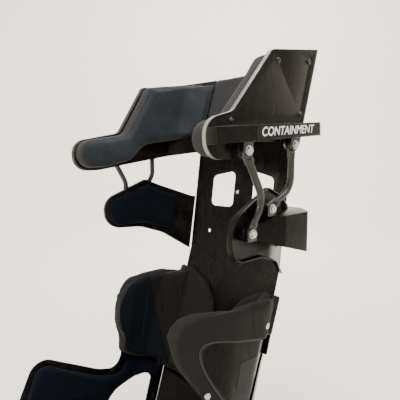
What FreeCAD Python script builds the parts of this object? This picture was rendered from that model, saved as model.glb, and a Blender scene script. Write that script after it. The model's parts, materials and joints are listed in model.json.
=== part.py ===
"""Full-containment racing seat: a bent aluminium shell with a head surround on tubes and
bolted struts, shoulder, rib and hip supports, and foam pads in fabric covers.

Millimetres, +Z up. The driver faces -Y, and the driver's left is +X. Every piece is laid
out from the waist bend, the level crease between the lower back and the upper back, and
then moved as one to stand on the floor with the seat's bottom at Z = 0.
"""

import FreeCAD, Part
import Sketcher
import math
import os

from FreeCAD import Vector

os.makedirs("parts", exist_ok=True)
doc = FreeCAD.newDocument("RacingSeat")
sheet = doc.addObject("Spreadsheet::Sheet", "Sizes")

SIZES = [
    # whole seat
    ("waist_height", 470.0),
    ("sheet_wall", 3.2),
    ("fit_gap", 0.3),
    # back shell: half width, curve radius and lean of each of its three flats
    ("back_half", 152.0),
    ("back_radius", 440.0),
    ("lower_radius", 1400.0),
    ("lower_lean", 20.0),
    ("upper_lean", 8.2),
    ("head_lean", 17.0),
    ("shell_rise", 38.0),
    ("bend_rise", 12.0),
    ("neck_rise", 272.0),
    ("back_top", 478.0),
    # harness slots in the upper back
    ("slot_inner", 31.0),
    ("slot_outer", 103.0),
    ("slot_low", 131.0),
    ("slot_high", 212.0),
    ("slot_peak", 14.0),
    ("slot_round", 14.0),
    # seat pan
    ("pan_half", 190.0),
    ("pan_front", 540.0),
    ("pan_rise", 34.0),
    ("pan_flat_front", 420.0),
    ("pan_lip", 26.0),
    ("crotch_slot_long", 64.0),
    ("crotch_slot_wide", 24.0),
    ("crotch_slot_y", 372.0),
    # head surround
    ("plate_half", 218.0),
    ("plate_bend", 17.0),
    ("corner_top_y", 2.0),
    ("corner_slant", 17.0),
    ("left_reach", 293.0),
    ("right_reach", 329.0),
    ("trim_wide", 9.0),
    ("trim_deep", 5.0),
    ("head_pad_thick", 50.0),
    ("back_pad_thick", 45.0),
    # tubes beside the head surround
    ("tube_size", 25.4),
    ("tube_wall", 2.4),
    ("tube_set_back", 3.0),
    ("tube_rear", 24.0),
    ("tube_low_z", 278.5),
    ("tube_slope", 4.6),
    ("cap_thick", 4.0),
    # struts
    ("strut_size", 12.7),
    ("strut_bend", 38.0),
    ("strut_lug", 17.0),
    ("foot_base", 4.5),
    ("foot_high", 20.0),
    ("tab_thick", 4.0),
    ("tab_wide", 22.0),
    ("bolt_size", 7.9),
    ("bolt_head_size", 13.0),
    ("bolt_head_high", 5.0),
    # shoulder supports
    ("shoulder_flange", 12.0),
    ("shoulder_pad_thick", 18.0),
    ("box_reach", 34.0),
    ("box_top", 157.0),
    # rib supports
    ("hip_top", 235.0),
    ("hip_rear_top", 313.0),
    ("rib_lap", 22.0),
    ("rib_tab", 13.0),
    ("rib_nose_half", 128.0),
    ("rib_pad_thick", 24.0),
    ("rib_cover_thick", 5.0),
    ("wing_thick", 14.0),
    # hips and cushions
    ("hip_pad_thick", 14.0),
    ("cushion_thick", 38.0),
    ("kidney_pad_thick", 16.0),
    # snaps
    ("snap_size", 12.0),
    ("snap_high", 3.0),
    ("strap_snap_x", 19.0),
    ("strap_snap_z", 171.0),
    # fasteners and mounting holes
    ("screw_size", 6.35),
    ("screw_head_size", 11.0),
    ("screw_head_high", 3.2),
    ("mount_hole", 9.5),
    ("mount_span_x", 280.0),
    ("mount_span_y", 200.0),
    ("mount_centre_y", 315.0),
    ("doubler_wide", 50.0),
    ("back_mount_span", 200.0),
    ("back_mount_z", 62.0),
]
for row, (alias, value) in enumerate(SIZES, start=1):
    sheet.set(f"A{row}", alias)
    sheet.set(f"B{row}", str(value))
    sheet.setAlias(f"B{row}", alias)
doc.recompute()


def size(alias):
    return float(sheet.get(alias))


def tan(degrees):
    return math.tan(math.radians(degrees))


# values used by more than one piece
WALL = size("sheet_wall")
GAP = size("fit_gap")
FLOOR = -size("waist_height")
HALF = size("back_half")
SAG = size("back_radius") - math.sqrt(size("back_radius") ** 2 - HALF**2)
LOWER_SAG = size("lower_radius") - math.sqrt(size("lower_radius") ** 2 - HALF**2)
BEND_Z = size("bend_rise")
NECK_Z = size("neck_rise")
TOP_Z = size("back_top")
LOW_Z = FLOOR + size("shell_rise")
NECK_Y = (NECK_Z - BEND_Z) * tan(size("upper_lean"))
TOP_Y = NECK_Y + (TOP_Z - NECK_Z) * tan(size("head_lean"))
LOW_Y = (LOW_Z - BEND_Z) * tan(size("lower_lean"))
TUBE_FRONT = size("left_reach") - size("tube_set_back")
SEAM_Z = FLOOR + size("hip_top")
REAR_SEAM_Z = FLOOR + size("hip_rear_top")


def back_y(z):
    """Y of the back's front face on the centre line, at height z above the waist."""
    if z <= BEND_Z:
        return (z - BEND_Z) * tan(size("lower_lean"))
    if z <= NECK_Z:
        return (z - BEND_Z) * tan(size("upper_lean"))
    return NECK_Y + (z - NECK_Z) * tan(size("head_lean"))


def edge_y(z):
    """Y of the back's side edge at height z."""
    if z >= BEND_Z:
        return back_y(z) - SAG
    share = (BEND_Z - z) / (BEND_Z - LOW_Z)
    return back_y(z) - SAG * (1 - share) - LOWER_SAG * share


# outlines and bent sheets


def rounded_edges(points, closed=True):
    """Lines and arcs through points (a, b, radius); a radius rounds that corner."""
    count = len(points)
    starts = []
    ends = []
    arcs = []
    for i, (a, b, radius) in enumerate(points):
        corner = Vector(a, b, 0)
        if radius <= 0 or (not closed and i in (0, count - 1)):
            starts.append(corner)
            ends.append(corner)
            arcs.append(None)
            continue
        before = (Vector(*points[i - 1][:2], 0) - corner).normalize()
        after = (Vector(*points[(i + 1) % count][:2], 0) - corner).normalize()
        half_turn = before.getAngle(after) / 2
        reach = radius / math.tan(half_turn)
        middle = (before + after).normalize() * (radius / math.sin(half_turn) - radius)
        starts.append(corner + before * reach)
        ends.append(corner + after * reach)
        arcs.append(corner + middle)
    edges = []
    for i in range(count):
        if arcs[i] is not None:
            edges.append(Part.Arc(starts[i], arcs[i], ends[i]).toShape())
        if closed or i < count - 1:
            following = starts[(i + 1) % count]
            if ends[i].distanceToPoint(following) > 1e-4:
                edges.append(Part.LineSegment(ends[i], following).toShape())
    return edges


def side_face(points):
    """A face in the plane X = 0 from (y, z, radius) corners."""
    wire = Part.Wire(rounded_edges(points))
    face = Part.Face(wire)
    face.rotate(Vector(0, 0, 0), Vector(1, 0, 0), 90)
    face.rotate(Vector(0, 0, 0), Vector(0, 0, 1), 90)
    return face


def side_prism(face, x_low, x_high):
    """A side face, or one from corners, drawn out from x_low to x_high."""
    face = side_face(face) if isinstance(face, list) else face.copy()
    face.translate(Vector(x_low, 0, 0))
    return face.extrude(Vector(x_high - x_low, 0, 0))


def offset_path(path, distance):
    """The open path (x, y, radius) moved distance to its right, with mitred corners."""
    points = [Vector(x, y, 0) for x, y, radius in path]
    moved = []
    for i, (x, y, radius) in enumerate(path):
        normals = []
        if i > 0:
            run = (points[i] - points[i - 1]).normalize()
            normals.append(Vector(run.y, -run.x, 0))
        if i < len(path) - 1:
            run = (points[i + 1] - points[i]).normalize()
            normals.append(Vector(run.y, -run.x, 0))
        normal = normals[0] if len(normals) == 1 else (normals[0] + normals[1]).normalize()
        stretch = distance / normal.dot(normals[0])
        if 0 < i < len(path) - 1:
            before = points[i] - points[i - 1]
            after = points[i + 1] - points[i]
            turns_left = before.cross(after).z > 0
            radius = radius + distance if turns_left else radius - distance
        moved.append((x + normal.x * stretch, y + normal.y * stretch, max(radius, 0.5)))
    return moved


def sheet_wire(path, near, far, z):
    """Closed plan outline of a sheet between two offsets of a path, at height z."""
    first = rounded_edges(offset_path(path, near), closed=False)
    second = rounded_edges(offset_path(path, far), closed=False)
    start_cap = Part.LineSegment(second[0].Vertexes[0].Point, first[0].Vertexes[0].Point).toShape()
    end_cap = Part.LineSegment(first[-1].Vertexes[-1].Point, second[-1].Vertexes[-1].Point).toShape()
    wire = Part.Wire(Part.__sortEdges__([*first, end_cap, *second, start_cap]))
    wire.translate(Vector(0, 0, z))
    return wire


def bent_sheet(low_path, low_z, high_path, high_z, near, far):
    """A sheet bent in plan and ruled between the same path at two heights."""
    wires = [sheet_wire(low_path, near, far, low_z), sheet_wire(high_path, near, far, high_z)]
    return Part.makeLoft(wires, True, True)


def mirrored(shape):
    """The same piece on the driver's right."""
    return shape.mirror(Vector(0, 0, 0), Vector(1, 0, 0))


def single(shape):
    """The one solid of a boolean result."""
    shape = shape.removeSplitter()
    solids = sorted(shape.Solids, key=lambda solid: solid.Volume)
    return solids[-1]


def sub_part(label, shape):
    """A fixed sub-part of the seat, standing where the seat stands."""
    feature = doc.addObject("Part::Feature", label)
    feature.Label = label
    feature.Shape = shape
    feature.Placement = SEAT_PLACE.multiply(shape.Placement)
    return feature


def both_sides(stem, shape):
    """A piece for the driver's left and its mirror image for the right."""
    sub_part(f"{stem}_left", shape)
    sub_part(f"{stem}_right", mirrored(shape))


# back shell


def back_section(z, y, radius, half, near=0.0, far=None):
    """Closed wire across the back at height z: two arcs, near and far behind its face."""
    far = WALL if far is None else far
    sag = radius - math.sqrt(radius**2 - half**2)

    def arc(depth):
        ends = [Vector(side * half, y - sag + depth, z) for side in (-1, 1)]
        return Part.Arc(ends[0], Vector(0, y + depth, z), ends[1]).toShape()

    front = arc(near)
    rear = arc(far)
    left = Part.LineSegment(front.Vertexes[-1].Point, rear.Vertexes[-1].Point).toShape()
    right = Part.LineSegment(rear.Vertexes[0].Point, front.Vertexes[0].Point).toShape()
    return Part.Wire(Part.__sortEdges__([front, left, rear, right]))


def back_solid(near, far, low_z, high_z, half):
    """The back's bent and curved form between two heights, thickened from near to far."""
    levels = [low_z, *[z for z in (BEND_Z, NECK_Z) if low_z < z < high_z], high_z]
    pieces = []
    for low, high in zip(levels, levels[1:]):
        radii = []
        for z in (low, high):
            share = max(0.0, (BEND_Z - z) / (BEND_Z - LOW_Z))
            sag = SAG * (1 - share) + LOWER_SAG * share
            radii.append((HALF**2 + sag**2) / (2 * sag))
        wires = [
            back_section(low, back_y(low), radii[0], half, near, far),
            back_section(high, back_y(high), radii[1], half, near, far),
        ]
        pieces.append(Part.makeLoft(wires, True, True))
    solid = pieces[0]
    for piece in pieces[1:]:
        solid = solid.fuse(piece)
    return single(solid)


def harness_slot(side):
    """Prism through the upper back: a slot whose top rises towards the middle."""
    inner = size("slot_inner")
    outer = size("slot_outer")
    radius = size("slot_round")
    corners = [
        (side * inner, size("slot_low"), radius),
        (side * outer, size("slot_low"), radius),
        (side * outer, size("slot_high"), radius),
        (side * inner, size("slot_high") + size("slot_peak"), radius),
    ]
    face = Part.Face(Part.Wire(rounded_edges(corners)))
    face.rotate(Vector(0, 0, 0), Vector(1, 0, 0), 90)
    face.translate(Vector(0, 120, 0))
    return face.extrude(Vector(0, -240, 0))


def hole_y(x, z, diameter):
    """A hole cutter along Y at (x, z)."""
    return Part.makeCylinder(diameter / 2, 400, Vector(x, 200, z), Vector(0, -1, 0))


def make_back_shell():
    shell = back_solid(0, WALL, LOW_Z, TOP_Z, HALF)
    shell = shell.cut([harness_slot(1), harness_slot(-1)])
    span = size("back_mount_span") / 2
    holes = [hole_y(side * span, size("back_mount_z"), size("mount_hole")) for side in (-1, 1)]
    holes.append(hole_y(-size("strap_snap_x"), size("strap_snap_z"), size("screw_size")))
    sub_part("seat_back_shell", single(shell.cut(holes)))


# seat pan


def pan_profile(near, far):
    """Side profile of the pan from its rear rim to the rolled front lip."""
    bottom = FLOOR + WALL
    front = -size("pan_front")
    lip = size("pan_lip")
    line = [
        (LOW_Y + WALL, LOW_Z - GAP, 0),
        (LOW_Y - 14, bottom, 30),
        (-size("pan_flat_front"), bottom, 120),
        (front + lip, bottom + size("pan_rise"), 22),
        (front, bottom + size("pan_rise") - lip, 0),
    ]
    return offset_path(line, near), offset_path(line, far)


def pan_solid(near, far, half):
    """The pan's profile between two offsets, across the seat."""
    upper, lower = pan_profile(near, far)
    first = rounded_edges(upper, closed=False)
    second = rounded_edges(lower, closed=False)
    caps = [
        Part.LineSegment(second[0].Vertexes[0].Point, first[0].Vertexes[0].Point).toShape(),
        Part.LineSegment(first[-1].Vertexes[-1].Point, second[-1].Vertexes[-1].Point).toShape(),
    ]
    face = Part.Face(Part.Wire(Part.__sortEdges__([*first, *second, *caps])))
    face.rotate(Vector(0, 0, 0), Vector(1, 0, 0), 90)
    face.rotate(Vector(0, 0, 0), Vector(0, 0, 1), 90)
    face.translate(Vector(-half, 0, 0))
    return face.extrude(Vector(2 * half, 0, 0))


def crotch_slot():
    """Cutter for the anti-submarine belt slot in the pan."""
    long = size("crotch_slot_long") / 2
    wide = size("crotch_slot_wide") / 2
    y = -size("crotch_slot_y")
    corners = [(-long, y - wide, wide * 0.8), (long, y - wide, wide * 0.8)]
    corners += [(long, y + wide, wide * 0.8), (-long, y + wide, wide * 0.8)]
    face = Part.Face(Part.Wire(rounded_edges(corners)))
    face.translate(Vector(0, 0, FLOOR - 20))
    return face.extrude(Vector(0, 0, 140))


def mount_points():
    """The four bottom mounting holes, as (x, y)."""
    half_x = size("mount_span_x") / 2
    half_y = size("mount_span_y") / 2
    centre = -size("mount_centre_y")
    return [(sx * half_x, centre + sy * half_y) for sx in (-1, 1) for sy in (-1, 1)]


def mount_cutters():
    radius = size("mount_hole") / 2
    return [Part.makeCylinder(radius, 60, Vector(x, y, FLOOR - 10)) for x, y in mount_points()]


def make_pan():
    pan = pan_solid(0, WALL, size("pan_half"))
    outside = bent_sheet(hip_path(FLOOR - 5), FLOOR - 5, hip_path(-400), -400, GAP, -80)
    shell_room = back_solid(-GAP, WALL + GAP, LOW_Z - GAP, LOW_Z + 30, HALF + GAP)
    pan = pan.cut([crotch_slot(), *mount_cutters(), outside, mirrored(outside), shell_room])
    sub_part("seat_pan", single(pan))
    for name, side in (("left", 1), ("right", -1)):
        wide = size("doubler_wide")
        x = side * size("mount_span_x") / 2
        length = size("mount_span_y") + wide
        y = -size("mount_centre_y") - length / 2
        box = Part.makeBox(wide, length, WALL, Vector(x - wide / 2, y, FLOOR))
        edges = [e for e in box.Edges if abs(e.tangentAt(e.FirstParameter).z) > 0.9]
        box = box.makeFillet(8, edges)
        sub_part(f"mount_doubler_{name}", single(box.cut(mount_cutters())))


# hip panels


def hip_path(z):
    """Plan path of the left hip panel at height z, from the back's edge forward."""
    y = edge_y(z)
    side = size("pan_half") + GAP
    return [
        (HALF + GAP, y, 0),
        (side, y - 66, 30),
        (side, -size("pan_front") - 40, 0),
    ]


def hip_outline():
    """Side outline of the hip panel: high at the ribs, waved down, up over the thigh."""
    front = -size("pan_front")
    floor = FLOOR + WALL
    return [
        (LOW_Y + 120, floor + 30, 0),
        (LOW_Y - 40, floor, 0),
        (-size("pan_flat_front"), floor, 0),
        (front + 16, floor + size("pan_rise") - 18, 12),
        (front + 6, floor + 60, 40),
        (front + 53, FLOOR + 202, 60),
        (front + 94, FLOOR + 294, 34),
        (-300, FLOOR + 204, 90),
        (-252, FLOOR + 188, 26),
        (-232, SEAM_Z, 14),
        (-172, SEAM_Z, 20),
        (-118, REAR_SEAM_Z, 12),
        (20, REAR_SEAM_Z, 0),
    ]


def hip_sheet(near, far):
    """The hip panel's bent form between two offsets."""
    high = REAR_SEAM_Z + 17
    return bent_sheet(hip_path(FLOOR), FLOOR, hip_path(high), high, near, far)


def hip_prism(let_out):
    """The hip panel's side outline, let out, drawn across its side of the seat."""
    return side_prism(drawn_in(hip_outline(), -let_out), 100, size("pan_half") + 70)


def belt_opening():
    """Side outline of the lap belt's opening, a leaf with its point to the rear."""
    return [
        (-194, FLOOR + 36, 22),
        (-322, FLOOR + 52, 20),
        (-262, FLOOR + 130, 60),
        (-158, FLOOR + 154, 13),
    ]


def make_hips():
    opening = side_prism(belt_opening(), 60, size("pan_half") + 110)
    panel = hip_sheet(0, -WALL).common(hip_prism(0)).cut(opening)
    panel = single(panel)
    both_sides("hip_panel", panel)


# closed outlines drawn in, and pillows lofted between them


def drawn_in(corners, distance):
    """The closed outline's corners moved in by distance, with their rounds to suit."""
    count = len(corners)
    points = [Vector(a, b, 0) for a, b, radius in corners]
    area = sum(points[i].x * points[(i + 1) % count].y - points[(i + 1) % count].x * points[i].y
               for i in range(count))
    way = 1 if area > 0 else -1
    moved = []
    for i, (a, b, radius) in enumerate(corners):
        before = (points[i] - points[i - 1]).normalize()
        after = (points[(i + 1) % count] - points[i]).normalize()
        first = Vector(-before.y, before.x, 0) * way
        second = Vector(-after.y, after.x, 0) * way
        bisector = (first + second).normalize()
        step = bisector * (distance / bisector.dot(first))
        convex = before.cross(after).z * way > 0
        if radius > 0:
            radius = max(radius - distance, 1.0) if convex else radius + distance
        moved.append((a + step.x, b + step.y, radius))
    return moved


def pillow(corners, stations):
    """A side outline lofted through (x, inset) stations, for a pad's rounded edges."""
    solid = None
    for (x_low, inset_low), (x_high, inset_high) in zip(stations, stations[1:]):
        faces = [side_face(drawn_in(corners, depth)) for depth in (inset_low, inset_high)]
        for face, x in zip(faces, (x_low, x_high)):
            face.translate(Vector(x, 0, 0))
        slab = Part.makeLoft([face.OuterWire for face in faces], True, True)
        solid = slab if solid is None else solid.fuse(slab)
    return single(solid)


# shoulder supports


def shoulder_path(z):
    """Plan path of the left shoulder support's inner face at height z."""
    y = edge_y(z)
    return [(HALF + GAP, y, 0), (196, y - 95, 80), (224, y - 290, 0)]


SHOULDER_LOW = -20.0
SHOULDER_HIGH = 215.0
SHOULDER_OUTLINE = [
    (-140, 205, 8),
    (-254, 156, 42),
    (-250, 84, 38),
    (-160, 79, 60),
    (-96, 56, 60),
    (-24, 3, 16),
    (30, -2, 0),
    (30, 166, 0),
    (-10, 152, 30),
]


def shoulder_sheet(near, far):
    low = shoulder_path(SHOULDER_LOW)
    high = shoulder_path(SHOULDER_HIGH)
    return bent_sheet(low, SHOULDER_LOW, high, SHOULDER_HIGH, near, far)


def make_shoulders():
    face = side_face(SHOULDER_OUTLINE)
    panel = shoulder_sheet(0, -WALL).common(side_prism(face, 100, 300))
    ring = side_prism(face, 100, 300).cut(
        side_prism(drawn_in(SHOULDER_OUTLINE, WALL), 90, 310))
    flange = shoulder_sheet(-WALL, -size("shoulder_flange")).common(ring)
    rear_keep = Part.makeBox(300, 400, 400, Vector(100, -430, -100))
    flange = flange.common(rear_keep)
    both_sides("shoulder_support", single(panel.fuse(flange)))

    thick = size("shoulder_pad_thick")
    shape = shoulder_sheet(thick, GAP).common(
        pillow(drawn_in(SHOULDER_OUTLINE, 5), [(120, 8), (190, 8), (197, 2), (205, 0), (300, 0)]))
    limit = side_prism([(-42, 260, 0), (-400, 260, 0), (-400, 0, 0), (-92, 0, 0)], 80, 300)
    both_sides("shoulder_pad", single(shape.common(limit)))

    both_sides("shoulder_box", make_shoulder_box())


def make_shoulder_box():
    """A folded box on the outside of the shoulder support, open below."""
    reach = 214 + size("box_reach")
    plan = [
        (150, -28, 0),
        (150, -200, 0),
        (214, -200, 0),
        (reach, -138, 10),
        (reach, -66, 14),
        (205, -28, 14),
    ]

    def block(margin, low, high):
        corners = drawn_in(plan, margin)
        face = Part.Face(Part.Wire(rounded_edges(corners)))
        face.translate(Vector(0, 0, low))
        return face.extrude(Vector(0, 0, high - low))

    high = size("box_top")
    profile = side_prism([(-210, 122, 0), (-20, 66, 0), (-20, high, 12), (-156, high, 10),
                          (-210, 128, 0)], 100, 300)
    below = side_prism([(-230, 100, 0), (0, 40, 0), (0, high - WALL, 12),
                        (-156 + WALL, high - WALL, 8), (-230, 108, 0)], 90, 310)
    box = block(0, 40, 200).common(profile)
    box = box.cut(block(WALL, 30, 210).common(below))
    return single(box.cut(shoulder_sheet(90, -WALL - 0.01)))


# head surround: side plates bent in to the back's edges, with trimmed fronts


def head_edge_y(z):
    return NECK_Y - SAG + (z - NECK_Z) * tan(size("head_lean"))


def corner_y(z):
    """Y of the side plate's rear bend at height z."""
    return size("corner_top_y") - (467 - z) * tan(size("corner_slant"))


def plate_path(z):
    """Plan path of the left side plate's outer face, from the back's edge forward."""
    side = size("plate_half")
    return [
        (HALF + GAP, head_edge_y(z) + WALL, 0),
        (side, corner_y(z), size("plate_bend")),
        (side, -420, 0),
    ]


PLATE_LOW = 215.0
PLATE_HIGH = 500.0
TOP_EDGE = [(120, 489, 0), (-139, 444.5, 9)]


def left_plate_outline():
    front = -size("left_reach")
    return [
        *TOP_EDGE,
        (front + 57, 333, 22),
        (front - 3, 316, 32),
        (front + 1, 256, 30),
        (front + 81, 256, 8),
        (front + 87, 286, 6),
        (-75, 286, 10),
        (60, 265, 0),
        (120, 265, 0),
    ]


def right_plate_outline():
    front = -size("right_reach")
    return [
        *TOP_EDGE,
        (front + 116, 325, 22),
        (front - 4, 301, 36),
        (front - 1, 232, 33),
        (front + 58, 233, 20),
        (120, 295, 0),
    ]


def left_pad_outline():
    front = -size("left_reach")
    return [
        *TOP_EDGE,
        (front + 57, 333, 22),
        (front - 3, 316, 32),
        (front + 1, 256, 30),
        (front + 85, 258, 24),
        (front + 117, 292, 24),
        (120, 334, 0),
    ]


def right_pad_outline():
    front = -size("right_reach")
    return [
        *TOP_EDGE,
        (front + 116, 325, 22),
        (front - 4, 301, 36),
        (front - 1, 232, 33),
        (front + 67, 237, 20),
        (front + 133, 252, 24),
        (front + 179, 291, 24),
        (120, 332, 0),
    ]


def plate_sheet(near, far):
    low = plate_path(PLATE_LOW)
    high = plate_path(PLATE_HIGH)
    return bent_sheet(low, PLATE_LOW, high, PLATE_HIGH, near, far)


def place_side(side, shape):
    return shape if side > 0 else mirrored(shape)


SCREWS = {
    "left": [(-124, 428), (-29, 441), (-56, 341), (50 - size("left_reach"), 317)],
    "right": [(-124, 428), (-29, 441), (-56, 341), (44 - size("right_reach"), 262)],
}


def make_head():
    outlines = {"left": left_plate_outline(), "right": right_plate_outline()}
    pads = {"left": left_pad_outline(), "right": right_pad_outline()}
    inner = size("plate_half") - WALL
    trim_in = inner - size("trim_wide")
    thick = WALL + size("head_pad_thick")
    pad_face = size("plate_half") - thick
    deep = size("trim_deep")
    beyond = size("plate_half") + 42
    shell_room = back_solid(-GAP, WALL + GAP, 200, 500, HALF + 0.25)
    for name, side in (("left", 1), ("right", -1)):
        corners = outlines[name]
        holes = [
            Part.makeCylinder(size("screw_size") / 2, 60, Vector(beyond, y, z), Vector(-1, 0, 0))
            for y, z in SCREWS[name]
        ]
        plate = plate_sheet(0, WALL).common(side_prism(corners, 80, beyond))
        plate = plate.cut([*holes, shell_room])
        sub_part(f"head_side_plate_{name}", place_side(side, single(plate)))

        ring = side_prism(corners, trim_in, inner - 0.01).cut(
            side_prism(drawn_in(corners, deep), trim_in - 5, inner + 5))
        front = side_prism([(-128, 520, 0), (-420, 520, 0), (-420, 200, 0), (-221, 200, 0),
                            (-221, 300, 0), (-128, 400, 0)], 100, beyond)
        trim = single(ring.common(front))
        sub_part(f"head_plate_trim_{name}", place_side(side, trim))

        form = pillow(pads[name], [
            (90, 12), (pad_face, 12), (pad_face + 5, 5), (pad_face + 14, 1.2),
            (trim_in - GAP, 0.6),
        ])
        rear_form = side_prism(drawn_in(pads[name], deep + GAP), trim_in - GAP, inner + 2)
        pad = plate_sheet(WALL + GAP, thick).common(form.fuse(rear_form))
        sub_part(f"head_pad_{name}", place_side(side, single(pad)))

    low = NECK_Z + 34
    high = TOP_Z - 4
    back_pad = back_solid(-size("back_pad_thick"), -GAP, low, high, HALF - 1)
    wedge = plate_sheet(-40, thick + GAP)
    back_pad = back_pad.cut([wedge, mirrored(wedge)])
    sub_part("head_pad_back", single(back_pad))


# fasteners


def screw(radius, head_radius, head_high, length, place, axis):
    """A domed screw: its shank goes from place along axis, its head the other way."""
    ball = (head_radius**2 + head_high**2) / (2 * head_high)
    head = Part.makeSphere(ball, Vector(0, 0, ball - head_high))
    head = head.common(Part.makeCylinder(head_radius * 0.97, head_high, Vector(0, 0, -head_high)))
    shape = head.fuse(Part.makeCylinder(radius, length))
    shape = single(shape)
    turn = FreeCAD.Rotation(Vector(0, 0, 1), Vector(*axis))
    shape.Placement = FreeCAD.Placement(Vector(*place), turn)
    return shape


def make_plate_screws():
    shapes = []
    for name, side in (("left", 1), ("right", -1)):
        for y, z in SCREWS[name]:
            place = (side * size("plate_half"), y, z)
            shapes.append(screw(size("screw_size") / 2 - 0.02, size("screw_head_size") / 2,
                                size("screw_head_high"), WALL, place, (-side, 0, 0)))
    sub_part("head_plate_screws", Part.makeCompound(shapes))


# tubes, struts and their brackets


def tube_low_z(y):
    """Height of the tube's underside at y."""
    return size("tube_low_z") + (y + TUBE_FRONT) * tan(size("tube_slope"))


def tube_body(name, side):
    """The square tube beside a head plate: a framed sketch padded along its length."""
    body = doc.addObject("PartDesign::Body", f"head_tube_{name}")
    body.Label = f"head_tube_{name}"
    plane = [f for f in body.Origin.OriginFeatures if f.Role == "XZ_Plane"][0]
    sketch = body.newObject("Sketcher::SketchObject", f"tube_section_{name}")
    sketch.AttachmentSupport = [(plane, "")]
    sketch.MapMode = "FlatFace"
    for inset_by in (False, True):
        first = len(sketch.Geometry)
        low = 1.0 if inset_by else 0.0
        high = 4.0 if inset_by else 5.0
        spots = [Vector(low, low, 0), Vector(high, low, 0), Vector(high, high, 0),
                 Vector(low, high, 0)]
        for i in range(4):
            sketch.addGeometry(Part.LineSegment(spots[i], spots[(i + 1) % 4]), False)
        for i in range(4):
            sketch.addConstraint(Sketcher.Constraint("Coincident", first + i, 2,
                                                     first + (i + 1) % 4, 1))
        for i, kind in enumerate(("Horizontal", "Vertical", "Horizontal", "Vertical")):
            sketch.addConstraint(Sketcher.Constraint(kind, first + i))
        edge = "Sizes.tube_wall" if inset_by else "0 mm"
        span = "Sizes.tube_size - 2 * Sizes.tube_wall" if inset_by else "Sizes.tube_size"
        rules = [("DistanceX", (-1, 1, first, 1), edge), ("DistanceY", (-1, 1, first, 1), edge),
                 ("DistanceX", (first, 1, first, 2), span),
                 ("DistanceY", (first + 1, 1, first + 1, 2), span)]
        for kind, where, rule in rules:
            number = sketch.addConstraint(Sketcher.Constraint(kind, *where, 1.0 + low))
            if rule != "0 mm":
                sketch.setExpression(f"Constraints[{number}]", rule)
            else:
                sketch.setDatum(number, FreeCAD.Units.Quantity("0 mm"))
    pad = body.newObject("PartDesign::Pad", f"tube_length_{name}")
    pad.Profile = sketch
    pad.setExpression("Length", "Sizes.left_reach - Sizes.tube_set_back - Sizes.tube_rear")
    pad.Reversed = True
    x = size("plate_half") if side > 0 else -size("plate_half") - size("tube_size")
    turn = FreeCAD.Rotation(Vector(1, 0, 0), size("tube_slope"))
    local = FreeCAD.Placement(Vector(x, -TUBE_FRONT, size("tube_low_z")), turn)
    body.Placement = SEAT_PLACE.multiply(local)
    return body


def make_caps(name, side):
    """End caps of a tube, welded flush, their outer corners rounded."""
    tube = size("tube_size")
    thick = size("cap_thick")
    length = TUBE_FRONT - size("tube_rear")
    turn = FreeCAD.Rotation(Vector(1, 0, 0), size("tube_slope"))
    x = size("plate_half")
    local = FreeCAD.Placement(Vector(x, -TUBE_FRONT, size("tube_low_z")), turn)
    for end, start in (("front", -thick - 0.01), ("rear", length + 0.01)):
        cap = Part.makeBox(tube, thick, tube, Vector(0, start, 0))
        face_y = start if end == "front" else start + thick
        corner = [e for e in cap.Edges if abs(e.BoundBox.XMin - tube) < 0.01
                  and abs(e.BoundBox.YMin - face_y) < 0.01 and e.BoundBox.ZLength > 1]
        cap = cap.makeFillet(thick * 0.9, corner)
        cap.Placement = local
        sub_part(f"tube_{end}_cap_{name}", place_side(side, cap))


def strut_x():
    return size("plate_half") + size("tube_size") / 2


def strut(points):
    """A bent round strut through (y, z) points, its ends pressed flat and drilled."""
    x = strut_x()
    path = [(y, z, size("strut_bend") if 0 < i < len(points) - 1 else 0)
            for i, (y, z) in enumerate(points)]
    edges = rounded_edges(path, closed=False)
    wire = Part.Wire(edges)
    wire.rotate(Vector(0, 0, 0), Vector(1, 0, 0), 90)
    wire.rotate(Vector(0, 0, 0), Vector(0, 0, 1), 90)
    wire.translate(Vector(x, 0, 0))
    start = wire.Vertexes[0].Point
    along = Vector(0, points[1][0] - points[0][0], points[1][1] - points[0][1])
    circle = Part.Wire(Part.makeCircle(size("strut_size") / 2, start, along))
    solid = wire.makePipeShell([circle], True, False)
    if not isinstance(solid, Part.Solid):
        solid = solid.Solids[0] if solid.Solids else Part.Solid(Part.Shell(solid.Faces))
    wide = size("strut_lug")
    flat = size("strut_size") * 0.5
    for end, inner in ((points[0], points[1]), (points[-1], points[-2])):
        run = Vector(0, inner[0] - end[0], inner[1] - end[1]).normalize()
        lug = Part.makeBox(flat, wide, 32, Vector(-flat / 2, -wide / 2, -wide / 2))
        lug = lug.makeFillet(wide / 2 - 0.4, [e for e in lug.Edges if e.BoundBox.XLength > 1
                                              and e.BoundBox.ZMin < -wide / 2 + 0.1])
        lug.Placement = FreeCAD.Placement(
            Vector(x, *end), FreeCAD.Rotation(Vector(1, 0, 0), math.degrees(
                math.atan2(-run.y, run.z))))
        trim = Part.makeBox(60, wide * 1.4, 30, Vector(-30, -wide * 0.7, -15))
        trim.Placement = lug.Placement
        solid = solid.cut(trim).fuse(lug)
        bolt = Part.makeCylinder(size("bolt_size") / 2 + 0.05, 60, Vector(x - 30, *end),
                                 Vector(1, 0, 0))
        solid = solid.cut(bolt)
    return single(solid)


FRONT_STRUT = [(-224, 270), (-178, 186), (-214, 134)]
REAR_STRUT = [(-100, 281), (-100, 202), (-163, 171)]


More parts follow.
